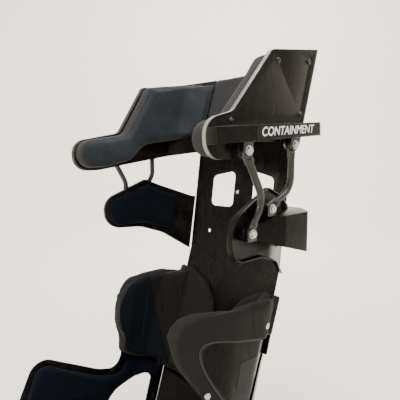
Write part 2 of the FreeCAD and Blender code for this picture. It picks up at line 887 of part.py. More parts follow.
def upper_bracket(y, z):
    """Two ears under the tube with the strut's end between them."""
    x = strut_x()
    wide = size("tab_wide")
    thick = size("tab_thick")
    spread = size("strut_size") * 0.25 + GAP
    top = tube_low_z(y) + 4
    ears = None
    for side in (-1, 1):
        low_x = x + spread if side > 0 else x - spread - thick
        ear = Part.makeBox(thick, wide, top - z + wide / 2, Vector(low_x, y - wide / 2,
                                                                   z - wide / 2))
        ear = ear.makeFillet(wide / 2 - 0.5, [e for e in ear.Edges if e.BoundBox.XLength > 1
                                              and e.BoundBox.ZMin < z - wide / 2 + 0.1])
        ears = ear if ears is None else ears.fuse(ear)
    tube = Part.makeBox(120, TUBE_FRONT + 60, 60, Vector(0, -60, -0.05))
    tube.Placement = FreeCAD.Placement(
        Vector(200, -TUBE_FRONT, size("tube_low_z")),
        FreeCAD.Rotation(Vector(1, 0, 0), size("tube_slope")))
    bolt = Part.makeCylinder(size("bolt_size") / 2, 90, Vector(x - 45, y, z), Vector(1, 0, 0))
    return ears.cut(tube).cut(bolt)


def lower_bracket(y, z):
    """A solid foot on the shoulder support with an ear each side of the strut's end."""
    x = strut_x()
    wide = size("tab_wide")
    thick = size("tab_thick")
    spread = size("strut_size") * 0.25 + GAP
    low = z - size("strut_lug") / 2 - size("foot_base")
    foot = Part.makeBox(x + spread + thick - 190, wide, size("foot_high"),
                        Vector(190, y - wide / 2, low))
    foot = foot.makeFillet(3, [e for e in foot.Edges if e.BoundBox.XLength > 1])
    gap = Part.makeBox(2 * spread, wide + 8, wide + 20,
                       Vector(x - spread, y - wide / 2 - 4, low + size("foot_base") - GAP))
    bolt = Part.makeCylinder(size("bolt_size") / 2, 90, Vector(x - 45, y, z), Vector(1, 0, 0))
    return foot.cut(gap).cut(bolt).cut(shoulder_sheet(90, -WALL - 0.01))


def strut_bolt(y, z):
    """A hex bolt across a bracket."""
    x = strut_x()
    thick = size("tab_thick")
    spread = size("strut_size") * 0.25 + GAP
    outer = x + spread + thick
    inner = x - spread - thick
    radius = size("bolt_size") / 2 - 0.02
    shank = Part.makeCylinder(radius, outer - inner, Vector(inner, y, z), Vector(1, 0, 0))
    hexagon = [Vector(outer, y + size("bolt_head_size") / 2 * math.cos(math.radians(60 * i)),
                      z + size("bolt_head_size") / 2 * math.sin(math.radians(60 * i)))
               for i in range(7)]
    head = Part.Face(Part.makePolygon(hexagon)).extrude(Vector(size("bolt_head_high"), 0, 0))
    return single(shank.fuse(head))


def make_struts():
    bolts = []
    for name, side in (("left", 1), ("right", -1)):
        tube_body(name, side)
        make_caps(name, side)
        for place, points in (("front", FRONT_STRUT), ("rear", REAR_STRUT)):
            sub_part(f"{place}_strut_{name}", place_side(side, strut(points)))
            upper = upper_bracket(*points[0])
            lower = lower_bracket(*points[-1])
            sub_part(f"{place}_strut_upper_bracket_{name}", place_side(side, upper))
            sub_part(f"{place}_strut_lower_bracket_{name}", place_side(side, lower))
            for spot in (points[0], points[-1]):
                bolts.append(place_side(side, strut_bolt(*spot)))
    sub_part("strut_bolts", Part.makeCompound(bolts))


# rib supports and their covers


RIB_LOW = SEAM_Z - 77
RIB_HIGH = 12.0
SUPPORT_LOW = SEAM_Z - size("rib_lap")
SUPPORT_REAR_LOW = REAR_SEAM_Z - size("rib_lap")
COVER_LOW = SEAM_Z - 68
TAB_HIGH = -48.0


def rib_path(z, bend_y, nose_x):
    """Plan path along the inside of the hip panel, then in towards the nose."""
    start, corner = offset_path(hip_path(z), WALL + 2 * GAP)[:2]
    return [start, corner, (corner[0], bend_y, 60), (nose_x, -330, 0)]


def rib_sheet(near, far):
    inner = size("pan_half") - WALL - GAP
    low = rib_path(RIB_LOW, -250, inner - 44)
    high = rib_path(RIB_HIGH, -196, size("rib_nose_half") - 14)
    return bent_sheet(low, RIB_LOW, high, RIB_HIGH, near, far)


def rib_tab(reach, near, far, low, high):
    """The support's rear tab, standing out sideways at the back's edge."""
    paths = []
    for z in (low, high):
        y = edge_y(z)
        paths.append([(HALF + GAP, y, 0), (HALF + GAP + reach, y, 0)])
    return bent_sheet(paths[0], low, paths[1], high, near, far)


# the picture's two rib supports differ: the left one is taller and reaches further
RIB_TOPS = {
    "left": [
        (40, -38, 0),
        (-60, -36, 20),
        (-168, -25, 60),
        (-262, -23, 60),
        (-306, -40, 40),
        (-296, -112, 90),
        (-252, -190, 60),
    ],
    "right": [
        (40, -52, 0),
        (-60, -51, 20),
        (-168, -50, 60),
        (-216, -56, 60),
        (-260, -90, 44),
        (-261, -142, 80),
        (-243, -190, 60),
    ],
}
COVER_TOPS = {
    "left": [
        (40, -30, 0),
        (-60, -28, 20),
        (-168, -17, 60),
        (-264, -14, 62),
        (-314, -36, 44),
        (-304, -114, 90),
        (-260, -192, 60),
    ],
    "right": [
        (40, -42, 0),
        (-60, -42, 20),
        (-168, -41, 60),
        (-222, -46, 60),
        (-269, -84, 48),
        (-270, -144, 86),
        (-252, -192, 60),
    ],
}
# where the covers leave the supports' outer faces bare
BARE_TOPS = {
    "left": [
        (-60, -122, 20),
        (-100, -106, 30),
        (-228, -68, 22),
        (-268, -72, 24),
        (-262, -118, 40),
        (-226, -186, 40),
    ],
    "right": [
        (-60, -122, 20),
        (-100, -110, 30),
        (-186, -92, 22),
        (-226, -98, 24),
        (-224, -134, 40),
        (-208, -186, 40),
    ],
}
WING_OUTLINE = [
    (178, -38, 26),
    (122, -37, 40),
    (66, -66, 60),
    (20, -116, 60),
    (12, SEAM_Z - 68, 16),
    (178, SEAM_Z - 68, 0),
]
SNAPS = {
    "left": [(-115, -73), (-261, -163)],
    "right": [(-115, -78), (-242, -160)],
}


def rib_outline(name):
    return [
        *RIB_TOPS[name],
        (-240, SUPPORT_LOW, 10),
        (-168, SUPPORT_LOW, 20),
        (-112, SUPPORT_REAR_LOW, 12),
        (40, SUPPORT_REAR_LOW, 0),
    ]


def cover_outline(name):
    return [
        *COVER_TOPS[name],
        (-252, SEAM_Z + 3, 14),
        (-208, SEAM_Z - 27, 14),
        (-112, COVER_LOW, 20),
        (40, COVER_LOW, 0),
    ]


def front_prism(corners):
    """Outline of (x, z, radius) corners drawn through the seat along Y."""
    face = Part.Face(Part.Wire(rounded_edges(corners)))
    face.rotate(Vector(0, 0, 0), Vector(1, 0, 0), 90)
    face.translate(Vector(0, 200, 0))
    return face.extrude(Vector(0, -500, 0))


def make_rib_cover(name):
    """A padded cover over a rib support's inside, its top and nose, and the back's edge."""
    inside = size("rib_pad_thick")
    thin = size("rib_cover_thick")
    outside = WALL + GAP + thin
    face_x = size("pan_half")
    form = pillow(cover_outline(name), [
        (60, 6), (face_x - inside, 6), (face_x - inside * 0.6, 1.5),
        (face_x + 1, 0), (face_x + outside + 5, 3),
    ])
    wing = back_solid(-size("wing_thick"), -GAP, COVER_LOW, -18, HALF + GAP)
    wing = wing.common(front_prism(WING_OUTLINE))
    rear = rib_tab(size("rib_tab") + thin + GAP, 3.8 + thin, -thin, REAR_SEAM_Z + 30, TAB_HIGH + 10)

    room = side_prism(drawn_in(rib_outline(name), -GAP), 60, 300)
    panel_room = rib_sheet(GAP, -WALL - GAP).common(room)
    tab_room = rib_tab(size("rib_tab") + GAP, 3.5 + GAP, -0.3 - GAP, REAR_SEAM_Z - 20, TAB_HIGH + GAP)
    shell_room = back_solid(-GAP, 30, COVER_LOW - 5, -10, HALF + 2)
    bare = [(60, -126, 0), *BARE_TOPS[name], (-214, RIB_LOW - 18, 0), (60, RIB_LOW - 18, 0)]
    outer_gone = rib_sheet(-WALL - GAP, -outside - 12).common(side_prism(bare, 60, 300))
    behind_hip = hip_sheet(GAP, -WALL - outside - 12).common(hip_prism(GAP))
    around = rib_sheet(inside, -outside).common(form)
    around = around.cut([panel_room, tab_room, shell_room, outer_gone, behind_hip])
    rear = rear.cut([panel_room, tab_room, outer_gone, behind_hip])
    wing = wing.cut([panel_room, tab_room])
    return single(around.fuse(rear).fuse(wing))


def outward(shape, y, z):
    """The outermost point of a left-hand piece at (y, z), and the surface's normal there."""
    ray = Part.makeLine(Vector(320, y, z), Vector(90, y, z))
    spot = max((v.Point for v in ray.common(shape).Vertexes), key=lambda point: point.x)
    at = Part.Vertex(spot)
    face = min(shape.Faces, key=lambda f: f.distToShape(at)[0])
    u, v = face.Surface.parameter(spot)
    normal = face.normalAt(u, v)
    return spot, normal if normal.x > 0 else normal * -1


def make_ribs():
    snaps = []
    for name, side in (("left", 1), ("right", -1)):
        panel = rib_sheet(0, -WALL).common(side_prism(rib_outline(name), 80, 260))
        tab = rib_tab(size("rib_tab"), 3.5, -0.3, REAR_SEAM_Z, TAB_HIGH)
        panel = single(panel.fuse(tab))
        sub_part(f"rib_support_{name}", place_side(side, panel))
        cover = make_rib_cover(name)
        sub_part(f"rib_cover_{name}", place_side(side, cover))
        for y, z in SNAPS[name]:
            spot, normal = outward(cover, y, z)
            cap = screw(size("snap_size") / 2, size("snap_size") / 2, size("snap_high"), 0.3,
                        spot + normal * 0.5, normal * -1)
            snaps.append(place_side(side, cap))
    sub_part("rib_cover_snaps", Part.makeCompound(snaps))


# hip pads and cushions


def make_cushions():
    thick = size("hip_pad_thick")
    outline = [
        (LOW_Y - 8, FLOOR + 52, 20),
        (-size("pan_flat_front"), FLOOR + 2 * WALL + 6, 60),
        (-size("pan_front") + 22, FLOOR + 52, 26),
        (59 - size("pan_front"), FLOOR + 198, 56),
        (94 - size("pan_front"), FLOOR + 286, 30),
        (-302, FLOOR + 196, 92),
        (-244, FLOOR + 178, 26),
        (-226, SUPPORT_LOW - 8, 14),
        (-180, SUPPORT_LOW - 8, 14),
        (-142, FLOOR + 182, 14),
    ]
    x = size("pan_half")
    form = pillow(outline, [(80, 5), (x - thick, 5), (x - thick + 6, 1), (x + 4, 0)])
    pad = hip_sheet(thick, GAP).common(form)
    opening = side_prism(drawn_in(belt_opening(), -6), 60, 300)
    pan_room = pan_solid(-40, WALL + GAP, 300)
    cover_room = rib_sheet(size("rib_pad_thick") + GAP, -30).common(
        side_prism(drawn_in(cover_outline("left"), -GAP), 60, 300))
    both_sides("hip_pad", single(pad.cut([opening, pan_room, cover_room])))

    back_thick = size("kidney_pad_thick")
    side_room = hip_sheet(thick + GAP, -90)
    back_pad = back_solid(-back_thick, -GAP, FLOOR + 62, COVER_LOW - 2, HALF - 4)
    back_pad = back_pad.cut([side_room, mirrored(side_room)])
    sub_part("lower_back_pad", single(back_pad))

    half = size("pan_half") - thick
    tall = size("cushion_thick")
    low_z = FLOOR + 2 * WALL
    front = -size("pan_front") + 36
    rise = size("pan_rise")
    profile = [
        (LOW_Y + 42, low_z, 0),
        (-size("pan_flat_front"), low_z, 0),
        (front, low_z + rise - 4, 8),
        (front - 2, low_z + rise + tall * 0.7, 20),
        (-size("pan_flat_front") - 20, low_z + rise * 0.5 + tall, 80),
        (-330, low_z + tall, 120),
        (LOW_Y - 48, low_z + tall, 50),
        (LOW_Y + 42, low_z + tall + 22, 0),
    ]
    cushion = pillow(profile, [(-half - 1, 9), (-half + 6, 2.5), (-half + 18, 0), (half - 18, 0),
                               (half - 6, 2.5), (half + 1, 9)])
    back_room = back_solid(-back_thick - GAP, 60, LOW_Z, COVER_LOW, 300)
    pan_room = pan_solid(-60, WALL + GAP, 300)
    cushion = cushion.cut([side_room, mirrored(side_room), back_room, pan_room, crotch_slot()])
    sub_part("seat_cushion", single(cushion))


def make_small_parts():
    place = Vector(-size("strap_snap_x"), back_y(size("strap_snap_z")), size("strap_snap_z"))
    snap = screw(size("screw_size") / 2 - 0.6, size("snap_size") / 2, size("snap_high"),
                 WALL, (place.x, place.y - 0.6, place.z), (0, 1, -tan(size("upper_lean"))))
    sub_part("strap_snap", snap)


FRONT_Y = pan_solid(0, WALL, size("pan_half")).optimalBoundingBox(True, False).YMin
REAR_Y = back_solid(0, WALL, LOW_Z, TOP_Z, HALF).optimalBoundingBox(True, False).YMax
SETBACK = -(FRONT_Y + REAR_Y) / 2
SEAT_PLACE = FreeCAD.Placement(Vector(0, SETBACK, -FLOOR), FreeCAD.Rotation())
print("setback", round(SETBACK, 2), "front", round(FRONT_Y, 2), "rear", round(REAR_Y, 2))

make_back_shell()
make_pan()
make_hips()
make_shoulders()
make_head()
make_plate_screws()
make_struts()
make_ribs()
make_cushions()
make_small_parts()

doc.recompute()
for thing in doc.Objects:
    if "Invalid" in thing.State or "Error" in thing.State:
        raise RuntimeError(f"{thing.Label} did not compute")

for feature in doc.Objects:
    if feature.TypeId in ("Part::Feature", "PartDesign::Body"):
        shape = feature.Shape
        if shape.isNull() or not shape.isValid():
            raise RuntimeError(f"{feature.Label} has no valid shape")
        shape.exportStep(f"parts/{feature.Label}.step")
        print(feature.Label, len(shape.Solids), round(shape.Volume / 1000, 1), "cm3")
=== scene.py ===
"""Full-containment racing seat: coated sheet metal, welded tubes, bolted struts and padded
fabric covers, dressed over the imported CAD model."""

import json
import math

import bpy
from mathutils import Matrix, Vector


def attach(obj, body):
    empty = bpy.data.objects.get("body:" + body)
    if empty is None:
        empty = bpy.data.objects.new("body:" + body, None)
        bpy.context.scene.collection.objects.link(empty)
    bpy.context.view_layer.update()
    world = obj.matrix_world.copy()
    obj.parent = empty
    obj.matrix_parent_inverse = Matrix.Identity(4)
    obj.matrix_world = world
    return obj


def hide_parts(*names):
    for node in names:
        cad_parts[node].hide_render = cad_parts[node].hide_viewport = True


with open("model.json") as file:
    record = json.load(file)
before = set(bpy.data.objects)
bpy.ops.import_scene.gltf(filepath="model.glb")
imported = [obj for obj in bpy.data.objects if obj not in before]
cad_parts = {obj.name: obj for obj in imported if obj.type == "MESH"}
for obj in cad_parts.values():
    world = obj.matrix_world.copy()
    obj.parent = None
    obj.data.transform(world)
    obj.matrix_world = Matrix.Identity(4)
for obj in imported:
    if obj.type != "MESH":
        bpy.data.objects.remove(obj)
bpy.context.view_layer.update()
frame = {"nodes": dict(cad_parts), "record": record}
NODES = frame["nodes"]

SET_BACK = 219.31
WAIST_HIGH = 470.0
CLOTH_STEPS = 16
FILM_THICK = 0.0003
LONGEST_STITCH = 0.012
ROUNDED = {}


# shader maths: Python's signs add the Math and Mix nodes

COLOUR_A, COLOUR_B, COLOUR_RESULT = 6, 7, 2

class Socket:
    """An output socket of a finish's node tree that takes + - * and the like."""

    def __init__(self, finish, out):
        self.finish = finish
        self.out = out

    def _math(self, operation, *values):
        return self.finish.node("ShaderNodeMath", {"operation": operation}, *values)

    def __add__(self, other):
        return self._math("ADD", self, other)

    __radd__ = __add__

    def __mul__(self, other):
        return self._math("MULTIPLY", self, other)

    __rmul__ = __mul__

    def __sub__(self, other):
        return self._math("SUBTRACT", self, other)

    def __rsub__(self, other):
        return self._math("SUBTRACT", other, self)

    def above(self, level):
        return self._math("GREATER_THAN", self, level)

    def least(self, other):
        return self._math("MINIMUM", self, other)

    def size(self):
        return self._math("ABSOLUTE", self)

    def sine(self):
        return self._math("SINE", self)

    def ease(self, low, high):
        """0 below low, 1 above high and smooth between."""
        settings = {"interpolation_type": "SMOOTHSTEP"}
        return self.finish.node("ShaderNodeMapRange", settings, self, low, high, 0.0, 1.0)


class Finish:
    """A material with one Principled shader, whose nodes come from one method."""

    def __init__(self, name, **fixed):
        self.material = bpy.data.materials.new(name)
        self.material.use_nodes = True
        self.tree = self.material.node_tree
        self.tree.nodes.clear()
        self.output = self.tree.nodes.new("ShaderNodeOutputMaterial")
        self.shader = self.tree.nodes.new("ShaderNodeBsdfPrincipled")
        self.tree.links.new(self.shader.outputs[0], self.output.inputs["Surface"])
        for socket, value in fixed.items():
            self.shader.inputs[socket.replace("_", " ")].default_value = value
        self.place = self.node("ShaderNodeTexCoord", {}, output="Object")

    def node(self, kind, settings, *values, output=0, **named):
        """Adds a node, sets it, then gives its sockets values or links, and returns an output."""
        node = self.tree.nodes.new(kind)
        for key, value in settings.items():
            setattr(node, key, value)
        for socket, value in [*zip(node.inputs, values), *named.items()]:
            self.give(socket if not isinstance(socket, str)
                      else node.inputs[socket.replace("_", " ")], value)
        return Socket(self, node.outputs[output])

    def give(self, socket, value):
        if isinstance(value, Socket):
            self.tree.links.new(value.out, socket)
        elif value is not None:
            socket.default_value = value

    def noise(self, scale, detail=3.0, rough=0.5, place=None):
        return self.node("ShaderNodeTexNoise", {}, Vector=place or self.place, Scale=scale,
                         Detail=detail, Roughness=rough)

    def mix(self, amount, first, second):
        """First where amount is 0 and second where it is 1, for colours."""
        node = self.tree.nodes.new("ShaderNodeMix")
        node.data_type = "RGBA"
        self.give(node.inputs["Factor"], amount)
        self.give(node.inputs[COLOUR_A], first)
        self.give(node.inputs[COLOUR_B], second)
        return Socket(self, node.outputs[COLOUR_RESULT])

    def stretched(self, x, y, z):
        """Object coordinates scaled along each axis."""
        return self.node("ShaderNodeMapping", {}, Vector=self.place, Scale=(x, y, z))

    def parts(self, vector):
        """A vector's x, y and z."""
        node = self.tree.nodes.new("ShaderNodeSeparateXYZ")
        self.tree.links.new(vector.out, node.inputs[0])
        return [Socket(self, out) for out in node.outputs]

    def bump(self, height, distance, strength=1.0, under=None):
        node = self.tree.nodes.new("ShaderNodeBump")
        node.inputs["Strength"].default_value = strength
        node.inputs["Distance"].default_value = distance
        self.give(node.inputs["Height"], height)
        if under is not None:
            self.give(node.inputs["Normal"], under)
        return Socket(self, node.outputs[0])

    def paint(self, **sockets):
        for socket, value in sockets.items():
            self.give(self.shader.inputs[socket.replace("_", " ")], value)
        return self.material


# finishes


def black_coat(name, shine):
    """Semi-gloss black powder coat: a fine orange peel, handling smears and a little dust."""
    finish = Finish(name, Specular_IOR_Level=shine)
    cloud = finish.noise(7.0, 4.0, 0.6)
    grit = finish.noise(1500.0, 2.0, 0.6)
    peel = finish.noise(480.0, 2.0, 0.5)
    smear = finish.noise(24.0, 5.0, 0.65, finish.stretched(1.0, 1.0, 0.35))
    speck = finish.noise(900.0, 1.0, 0.4).ease(0.72, 0.78)
    coat = finish.mix(cloud.ease(0.35, 0.7), (0.0024, 0.0021, 0.0021, 1),
                      (0.0042, 0.0037, 0.0036, 1))
    colour = finish.mix(speck * 0.2, coat, (0.04, 0.038, 0.036, 1))
    rough = 0.24 + smear.ease(0.35, 0.8) * 0.08 + grit * 0.04
    return finish.paint(Base_Color=colour, Roughness=rough,
                        Normal=finish.bump(peel * 0.65 + grit * 0.35, 0.00005, 0.4))


def painted_highlight_finish():
    """Satin aluminium colours on the edge strip, a little scuffed: a painted highlight for the
    black flange's lit rim.
    """
    finish = Finish("edge_trim", Metallic=0.9)
    scuff = finish.noise(60.0, 4.0, 0.6, finish.stretched(1.0, 1.0, 0.4))
    colour = finish.mix(scuff.ease(0.35, 0.7), (0.2, 0.195, 0.19, 1), (0.34, 0.33, 0.325, 1))
    return finish.paint(Base_Color=colour, Roughness=0.3 + scuff * 0.2,
                        Normal=finish.bump(finish.noise(900.0), 0.0001, 0.4))


def painted_shade_finish():
    """The same strip in black rubber as a shaded copy: painted shade on the side that lies away
    from the light.
    """
    finish = Finish("painted_shade_finish", Specular_IOR_Level=0.4)
    scuff = finish.noise(70.0, 4.0, 0.6)
    colour = finish.mix(scuff.ease(0.35, 0.7), (0.012, 0.012, 0.012, 1), (0.03, 0.03, 0.031, 1))
    return finish.paint(Base_Color=colour, Roughness=0.5 + scuff * 0.15,
                        Normal=finish.bump(finish.noise(1100.0), 0.0001, 0.5))


def plated_steel():
    """Bright zinc plate with fine handling marks."""
    finish = Finish("plated_steel", Metallic=1.0)
    marks = finish.noise(220.0, 4.0, 0.6)
    colour = finish.mix(marks, (0.36, 0.36, 0.36, 1), (0.58, 0.57, 0.56, 1))
    return finish.paint(Base_Color=colour, Roughness=0.14 + marks * 0.16,
                        Normal=finish.bump(marks, 0.0002, 0.3))


def blackened_steel():
    """Black oxide on screws, worn a little in scattered patches."""
    finish = Finish("blackened_steel", Metallic=0.9)
    marks = finish.noise(260.0, 4.0, 0.6)
    colour = finish.mix(marks.ease(0.4, 0.8), (0.03, 0.03, 0.032, 1), (0.12, 0.118, 0.115, 1))
    return finish.paint(Base_Color=colour, Roughness=0.2 + marks * 0.15,
                        Normal=finish.bump(marks, 0.0002, 0.3))


def label_film():
    """A bare glossy black film, with a few bubbles and a hair-thin scratch or two."""
    finish = Finish("label_film", Specular_IOR_Level=0.14)
    bubble = finish.noise(130.0, 2.0, 0.5).ease(0.66, 0.74)
    scratch = finish.noise(40.0, 6.0, 0.7, finish.stretched(1.0, 0.08, 1.0)).ease(0.6, 0.64)
    colour = finish.mix(scratch * 0.4, (0.004, 0.004, 0.0045, 1), (0.02, 0.02, 0.021, 1))
    return finish.paint(Base_Color=colour, Roughness=0.1 + scratch * 0.2,
                        Normal=finish.bump(bubble, 0.0003, 0.4))


def weave_height(finish, pitch):
    """Over-and-under threads of a plain weave, in the two directions that a face shows."""
    x, y, z = finish.parts(finish.place)
    turn = math.tau / pitch
    along = (y * turn).sine() * (z * turn).sine()
    across = (x * turn).sine() * ((y + z) * turn).sine()
    return along * 0.5 + across * 0.5


def tinted(colour, factor):
    return tuple(v * factor for v in colour[:3]) + (1,)


def pad_fabric(name, smooth, woven, panel=None):
    """Navy smooth stretch fabric on the faces that look inboard, a lighter charcoal weave on the
    others: a split by face direction that is painted light on the outward faces.

    A panel is (y, z, slope, way): the smooth fabric keeps to one side of that sewn line.
    """
    finish = Finish(name, Sheen_Weight=0.04, Sheen_Roughness=0.4, Specular_IOR_Level=0.15)
    cloud = finish.noise(14.0, 4.0, 0.6)
    fibre = finish.noise(1500.0, 2.0, 0.7)
    threads = weave_height(finish, 0.0021)
    normal = finish.node("ShaderNodeNewGeometry", {}, output="Normal")
    across, ahead, up = finish.parts(normal)
    x, y, z = finish.parts(finish.place)
    # painted light: the colour follows which way each face turns, lighter charcoal outward and navy
    # inboard
    facing = across * (1.0 - x.above(0.0) * 2.0)
    inboard = facing.ease(0.60, 0.68)
    edge = (facing - 0.64).size()
    if panel:
        line = ((y - panel[0]) + (z - panel[1]) * panel[2]) * panel[3]
        inboard = inboard * line.ease(-0.0008, 0.0008)
        edge = edge.least(line.size() * 12.0)
    # smooth is the navy of the inboard faces, woven is the painted-light charcoal of the outward
    # faces
    tone = finish.mix(cloud.ease(0.3, 0.7), tinted(smooth, 0.8), tinted(smooth, 1.3))
    outward_tone = finish.mix((threads * 0.5 + 0.5) * 0.6 + fibre * 0.4, tinted(woven, 0.5),
                      tinted(woven, 1.5))
    colour = finish.mix(inboard, outward_tone, tone)
    groove = edge.ease(0.0, 0.045)
    colour = finish.mix(groove, (0.0025, 0.0025, 0.003, 1), colour)
    height = fibre * 0.35 + threads * (1.0 - inboard * 0.8) + groove * 1.2
    wrinkle = finish.bump(finish.noise(22.0, 3.0, 0.5), 0.0022, 0.22)
    return finish.paint(Base_Color=colour, Roughness=0.84 + fibre * 0.1 - inboard * 0.1,
                        Normal=finish.bump(height, 0.0004, 0.6, wrinkle))


def plain_fabric(name, dark, light, pitch):
    """Black woven upholstery fabric with a soft nap."""
    finish = Finish(name, Specular_IOR_Level=0.1)
    cloud = finish.noise(11.0, 4.0, 0.6)
    fibre = finish.noise(1700.0, 2.0, 0.7)
    threads = weave_height(finish, pitch)
    amount = cloud.ease(0.3, 0.75) * 0.4 + (threads * 0.5 + 0.5) * 0.35 + fibre * 0.25
    colour = finish.mix(amount, dark, light)
    wrinkle = finish.bump(finish.noise(18.0, 3.0, 0.5), 0.003, 0.22)
    return finish.paint(Base_Color=colour, Roughness=0.86 + fibre * 0.08,
                        Normal=finish.bump(threads * 0.7 + fibre * 0.3, 0.0004, 0.6, wrinkle))


def thread():
    """Black sewing thread and piping, slightly shiny, with a fine twist."""
    finish = Finish("thread", Specular_IOR_Level=0.4)
    twist = finish.noise(2600.0, 1.0, 0.5)
    colour = finish.mix(twist, (0.006, 0.006, 0.007, 1), (0.028, 0.028, 0.03, 1))
    return finish.paint(Base_Color=colour, Roughness=0.55 + twist * 0.15,
                        Normal=finish.bump(twist, 0.0002, 0.5))


def weld_metal():
    """Weld beads under the black coat, where it lies thin and shiny."""
    finish = Finish("weld_metal", Specular_IOR_Level=0.6)
    heat = finish.noise(300.0, 3.0, 0.5)
    colour = finish.mix(heat.ease(0.4, 0.8), (0.01, 0.0095, 0.009, 1), (0.05, 0.048, 0.046, 1))
    return finish.paint(Base_Color=colour, Metallic=heat.ease(0.45, 0.8) * 0.5,
                        Roughness=0.16 + heat * 0.12,
                        Normal=finish.bump(heat, 0.0003, 0.4))


def print_ink():
    """White printing on a label, worn a little."""
    finish = Finish("print_ink", Specular_IOR_Level=0.3)
    wear = finish.noise(400.0, 3.0, 0.6)
    colour = finish.mix(wear.ease(0.5, 0.8), (0.72, 0.71, 0.73, 1), (0.5, 0.49, 0.51, 1))
    return finish.paint(Base_Color=colour, Roughness=0.35 + wear * 0.1)


COAT = black_coat("black_coat", 0.1)
ROD_COAT = black_coat("rod_coat", 0.55)
# EDGE: bright metal colour as a painted highlight on the black trim and the tube rear caps
EDGE = painted_highlight_finish()
PAINTED_SHADE_BLACK = painted_shade_finish()
STEEL = plated_steel()
BLACKENED = blackened_steel()
FILM = label_film()
THREAD = thread()
WELD = weld_metal()
NAVY = (0.019, 0.0245, 0.031, 1)
CHARCOAL = (0.026, 0.0265, 0.0288, 1)
HEAD_FABRIC = pad_fabric("head_fabric", NAVY, CHARCOAL)
RIB_FABRIC = pad_fabric("rib_fabric", (0.0024, 0.0052, 0.0098, 1), (0.0105, 0.0105, 0.0105, 1),
                        panel=(0.0613, 0.389, 0.12, -1.0))
SHOULDER_FABRIC = plain_fabric("shoulder_fabric", (0.0008, 0.0018, 0.0045, 1),
                               (0.002, 0.0038, 0.0085, 1), 0.0016)
HIP_FABRIC = plain_fabric("hip_fabric", (0.0016, 0.0032, 0.0068, 1), (0.004, 0.0072, 0.0135, 1),
                          0.002)
INK = print_ink()
BLACK_FABRIC = plain_fabric("black_fabric", (0.003, 0.003, 0.0032, 1),
                            (0.0105, 0.0105, 0.011, 1), 0.002)
FINISHES = {
    "black_coat": COAT,
    "edge_trim": EDGE,
    "plated_steel": STEEL,
    "navy_fabric": SHOULDER_FABRIC,
    "black_fabric": BLACK_FABRIC,
}


# handling pieces


def only(obj):
    """Deselects all else, and makes obj the active, selected object."""
    if bpy.context.object and bpy.context.object.mode != "OBJECT":
        bpy.ops.object.mode_set(mode="OBJECT")
    bpy.ops.object.select_all(action="DESELECT")
    obj.select_set(True)
    bpy.context.view_layer.objects.active = obj


def finish_piece(obj, name, material):
    """Names the piece, places it in its own mesh and lets it ride the seat's one body."""
    only(obj)
    bpy.ops.object.transform_apply(location=True, rotation=True, scale=True)
    obj.name = name
    obj.data.name = name
    obj.data.materials.clear()
    obj.data.materials.append(material)
    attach(obj, "root")
    return obj


def copy_of_node(node, name):
    """A copy of a CAD node's mesh with its loose triangles joined."""
    source = NODES[node]
    obj = bpy.data.objects.new(name, source.data.copy())
    bpy.context.scene.collection.objects.link(obj)
    only(obj)
    bpy.ops.object.mode_set(mode="EDIT")
    bpy.ops.mesh.select_all(action="SELECT")
    bpy.ops.mesh.remove_doubles(threshold=0.00001)
    bpy.ops.object.mode_set(mode="OBJECT")
    return obj


def modifier(obj, kind, **settings):
    """Adds a modifier, sets it and applies it."""
    only(obj)
    mod = obj.modifiers.new(kind.title(), kind)
    for key, value in settings.items():
        setattr(mod, key, value)
    bpy.ops.object.modifier_apply(modifier=mod.name)


def softened(node, material, width):
    """Puts a CAD node's copy with its rims rounded over in the node's place."""
    obj = copy_of_node(node, node + "_rounded")
    bpy.ops.object.mode_set(mode="EDIT")
    bpy.ops.mesh.select_all(action="SELECT")
    bpy.ops.mesh.dissolve_limited(angle_limit=math.radians(0.8))
    bpy.ops.object.mode_set(mode="OBJECT")
    modifier(obj, "BEVEL", width=width, segments=2, limit_method="ANGLE",
             angle_limit=math.radians(34), use_clamp_overlap=True)
    only(obj)
    bpy.ops.object.shade_smooth_by_angle(angle=math.radians(38))
    finish_piece(obj, node + "_rounded", material)
    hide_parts(node)
    ROUNDED[node] = obj


def spot(x, y, z):
    """A point in millimetres from the waist bend's middle, as metres from the floor."""
    return Vector((x, y + SET_BACK, z + WAIST_HIGH)) / 1000


def on_face(target, start, way):
    """Where a ray meets a piece, and the surface's normal there."""
    way = Vector(way).normalized()
    found, place, normal, index = target.ray_cast(Vector(start), way)
    if not found:
        return None
    return place, normal if normal.dot(way) < 0 else -normal


def on_side(target, side, y, z):
    """The outermost point of a piece on one side of the seat, at y and z in millimetres."""
    return on_face(target, spot(side * 400, y, z), (-side, 0, 0))


def in_side(target, side, y, z):
    """The point of a side piece that the driver sees, at y and z in millimetres."""
    return on_face(target, spot(side * 20, y, z), (side, 0, 0))


def along(points, pitch):
    """Evenly spaced (y, z) points along straight runs."""
    spaced = []
    for (y0, z0), (y1, z1) in zip(points, points[1:]):
        length = math.hypot(y1 - y0, z1 - z0)
        count = max(1, round(length / pitch))
        for i in range(count):
            share = (i + 0.5) / count
            spaced.append((y0 + (y1 - y0) * share, z0 + (z1 - z0) * share))
    return spaced


def line_piece(name, points, radius, material):
    """A smooth round bead through points, as piping."""
    data = bpy.data.curves.new(name, "CURVE")
    data.dimensions = "3D"
    data.bevel_depth = radius
    data.bevel_resolution = 2
    data.use_fill_caps = True
    spline = data.splines.new("NURBS")
    spline.points.add(len(points) - 1)
    for point, place in zip(spline.points, points):
        point.co = (*place, 1.0)
    spline.order_u = 3
    spline.use_endpoint_u = True
    spline.resolution_u = 3
    obj = bpy.data.objects.new(name, data)
    bpy.context.scene.collection.objects.link(obj)
    only(obj)
    bpy.ops.object.convert(target="MESH")
    obj = bpy.context.object
    bpy.ops.object.shade_smooth()
    return finish_piece(obj, name, material)


def joined(name, pieces, material):
    """Several small pieces as one."""
    bpy.ops.object.select_all(action="DESELECT")
    for piece in pieces:
        piece.select_set(True)
    bpy.context.view_layer.objects.active = pieces[0]
    bpy.ops.object.join()
    return finish_piece(bpy.context.object, name, material)


